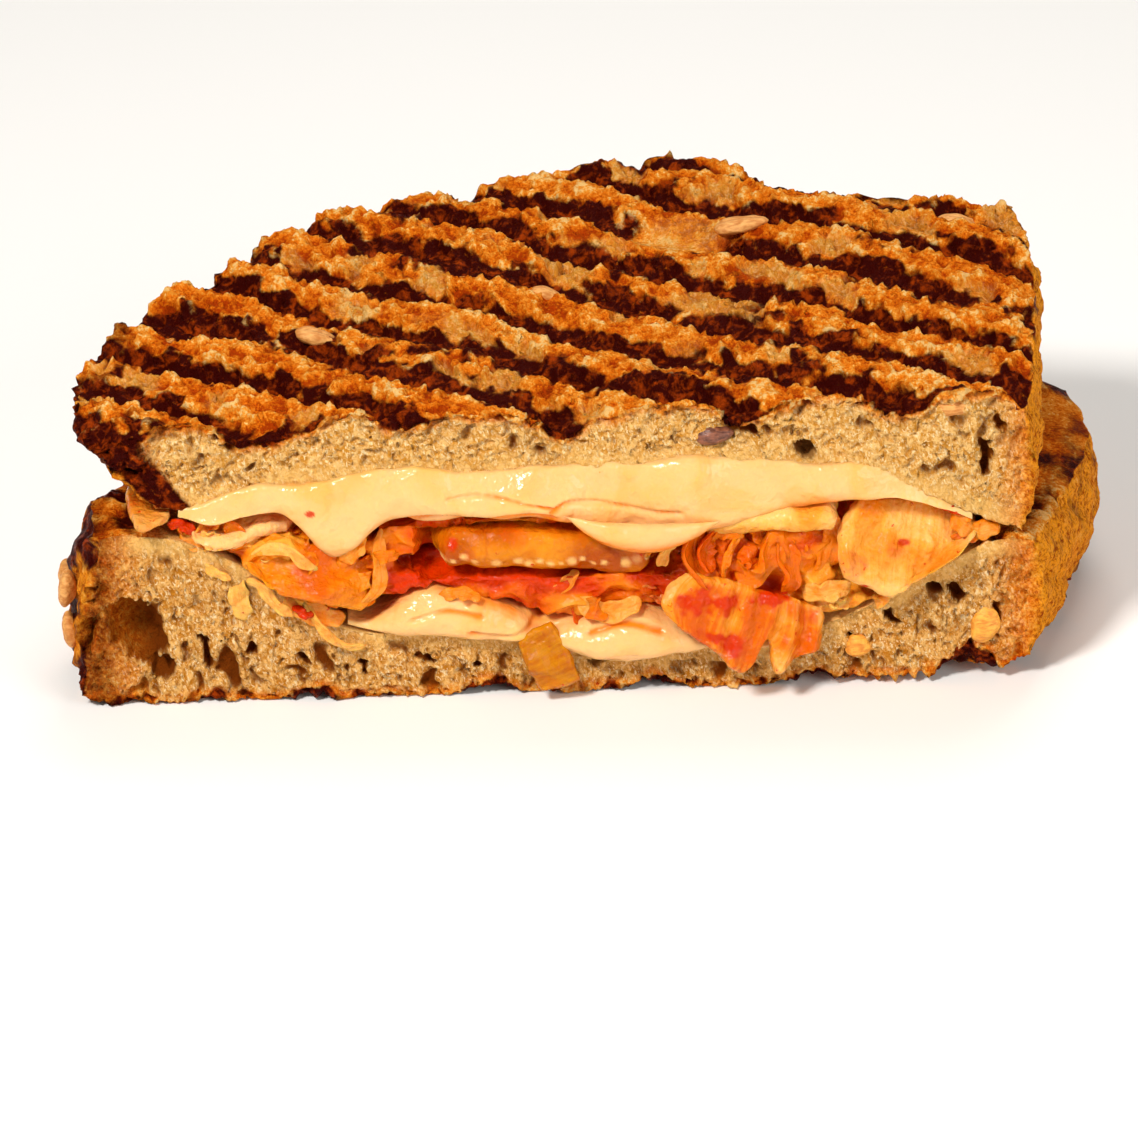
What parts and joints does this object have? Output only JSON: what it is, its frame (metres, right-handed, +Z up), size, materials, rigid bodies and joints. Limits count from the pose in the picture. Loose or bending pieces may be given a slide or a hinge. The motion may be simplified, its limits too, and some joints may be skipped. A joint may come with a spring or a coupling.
{
  "type": "kimchi cheese sandwich half",
  "caption": "Half of a pressed and grilled sandwich of seeded country bread, cut across, with melted cheese above and below a heap of kimchi.",
  "frame": {"origin": "middle of the bounding box, on the plane the sandwich half rests on", "axes": "+X along the cut face, from the domed end of the bread to its flat base; +Y back from the cut face into the bread; +Z up"},
  "size_m": [0.1264, 0.0772, 0.0403],
  "materials": {
    "bread_top": "toasted bread: dark brown grill marks, golden lands, grey-brown open crumb at the cut",
    "bread_bottom": "toasted bread: grey-brown open crumb at the cut, brown crust and grill marks below",
    "cheese_top": "melted pale cheese, glossy",
    "cheese_bottom": "melted pale cheese, glossy",
    "kimchi": "wet red-orange fermented cabbage with chilli paste",
    "stem_middle": "wet translucent tan cabbage stem",
    "stem_right": "wet pale cabbage stem with fine streaks",
    "stem_upper_right": "wet pale cabbage stem",
    "stem_ribbed": "wet ribbed cabbage stem with chilli paste",
    "stem_left": "wet pale cabbage stem",
    "stem_far_left": "wet pale cabbage stem",
    "leaf_left": "wet orange cabbage leaf",
    "leaf_curled": "wet orange cabbage leaf, curled",
    "stem_hanging": "wet orange-yellow cabbage piece"
  },
  "bodies": {
    "root": {"bread_top": "bread_top", "bread_bottom": "bread_bottom", "cheese_top": "cheese_top", "cheese_bottom": "cheese_bottom", "kimchi": "kimchi", "stem_middle": "stem_middle", "stem_right": "stem_right", "stem_upper_right": "stem_upper_right", "stem_ribbed": "stem_ribbed", "stem_left": "stem_left", "stem_far_left": "stem_far_left", "leaf_left": "leaf_left", "leaf_curled": "leaf_curled", "stem_hanging": "stem_hanging"}
  },
  "joints": []
}
